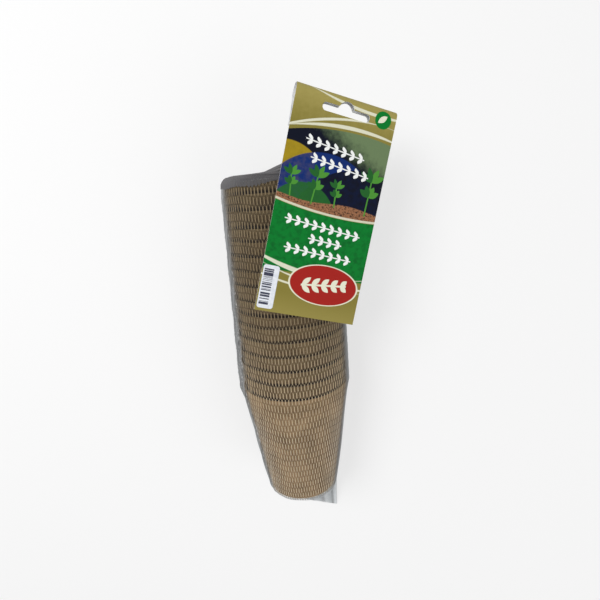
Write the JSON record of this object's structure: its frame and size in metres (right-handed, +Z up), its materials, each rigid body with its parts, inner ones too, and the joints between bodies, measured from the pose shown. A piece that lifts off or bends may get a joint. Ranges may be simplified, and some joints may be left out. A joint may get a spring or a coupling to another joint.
{
  "type": "nested peat pots in a net with a hang card",
  "caption": "Stack of nested round fibre plant pots lying in a tubular net, gathered at its mouth into a folded hang card with a slot.",
  "frame": {"origin": "middle of the flat that the net's underside rests on", "axes": "+Z up; +Y along the stack, from the foot of the stack to the pots' open mouth"},
  "size_m": [0.1182, 0.355, 0.0942],
  "materials": {
    "fibre": "rough pressed fibre",
    "net": "extruded plastic netting, slightly glossy",
    "card": "printed and varnished board",
    "label": "matt label paper",
    "staple_wire": "galvanised wire"
  },
  "bodies": {
    "net_bag": {"net_sleeve": "net", "net_foot": "net", "net_tail": "net", "net_neck": "net", "pot_01": "fibre"},
    "pot_02": {"pot_02": "fibre"},
    "pot_03": {"pot_03": "fibre"},
    "pot_04": {"pot_04": "fibre"},
    "pot_05": {"pot_05": "fibre"},
    "pot_06": {"pot_06": "fibre"},
    "pot_07": {"pot_07": "fibre"},
    "pot_08": {"pot_08": "fibre"},
    "pot_09": {"pot_09": "fibre"},
    "pot_10": {"pot_10": "fibre"},
    "pot_11": {"pot_11": "fibre"},
    "pot_12": {"pot_12": "fibre"},
    "pot_13": {"pot_13": "fibre"},
    "pot_14": {"pot_14": "fibre"},
    "pot_15": {"pot_15": "fibre"},
    "pot_16": {"pot_16": "fibre"},
    "hang_card": {"header_card": "card", "barcode_label": "label", "net_gather": "net", "staples": "staple_wire"}
  },
  "joints": [
    {"name": "pot_02_slide", "type": "slide", "parent": "net_bag", "child": "pot_02", "axis": [0, 1, 0], "range_m": [-0.00306, 0]},
    {"name": "pot_03_slide", "type": "slide", "parent": "pot_02", "child": "pot_03", "axis": [0, 1, 0], "range_m": [-0.00204, 0]},
    {"name": "pot_04_slide", "type": "slide", "parent": "pot_03", "child": "pot_04", "axis": [0, 1, 0], "range_m": [-0.00272, 0]},
    {"name": "pot_05_slide", "type": "slide", "parent": "pot_04", "child": "pot_05", "axis": [0, 1, 0], "range_m": [-0.00289, 0]},
    {"name": "pot_06_slide", "type": "slide", "parent": "pot_05", "child": "pot_06", "axis": [0, 1, 0], "range_m": [-0.00211, 0]},
    {"name": "pot_07_slide", "type": "slide", "parent": "pot_06", "child": "pot_07", "axis": [0, 1, 0], "range_m": [-0.000306, 0]},
    {"name": "pot_08_slide", "type": "slide", "parent": "pot_07", "child": "pot_08", "axis": [0, 1, 0], "range_m": [-0.0019, 0]},
    {"name": "pot_09_slide", "type": "slide", "parent": "pot_08", "child": "pot_09", "axis": [0, 1, 0], "range_m": [-0.00235, 0]},
    {"name": "pot_10_slide", "type": "slide", "parent": "pot_09", "child": "pot_10", "axis": [0, 1, 0], "range_m": [-0.00231, 0]},
    {"name": "pot_11_slide", "type": "slide", "parent": "pot_10", "child": "pot_11", "axis": [0, 1, 0], "range_m": [-0.00197, 0]},
    {"name": "pot_12_slide", "type": "slide", "parent": "pot_11", "child": "pot_12", "axis": [0, 1, 0], "range_m": [-0.00211, 0]},
    {"name": "pot_13_slide", "type": "slide", "parent": "pot_12", "child": "pot_13", "axis": [0, 1, 0], "range_m": [-0.00068, 0]},
    {"name": "pot_14_slide", "type": "slide", "parent": "pot_13", "child": "pot_14", "axis": [0, 1, 0], "range_m": [-0.0034, 0]},
    {"name": "pot_15_slide", "type": "slide", "parent": "pot_14", "child": "pot_15", "axis": [0, 1, 0], "range_m": [-0.00238, 0]},
    {"name": "pot_16_slide", "type": "slide", "parent": "pot_15", "child": "pot_16", "axis": [0, 1, 0], "range_m": [-0.000204, 0]},
    {"name": "card_swing", "type": "hinge", "parent": "net_bag", "child": "hang_card", "pos_m": [0.03841, 0.0927, 0.07162], "axis": [-0.9382, 0.2908, 0.1875], "range_deg": [0, 60]}
  ]
}
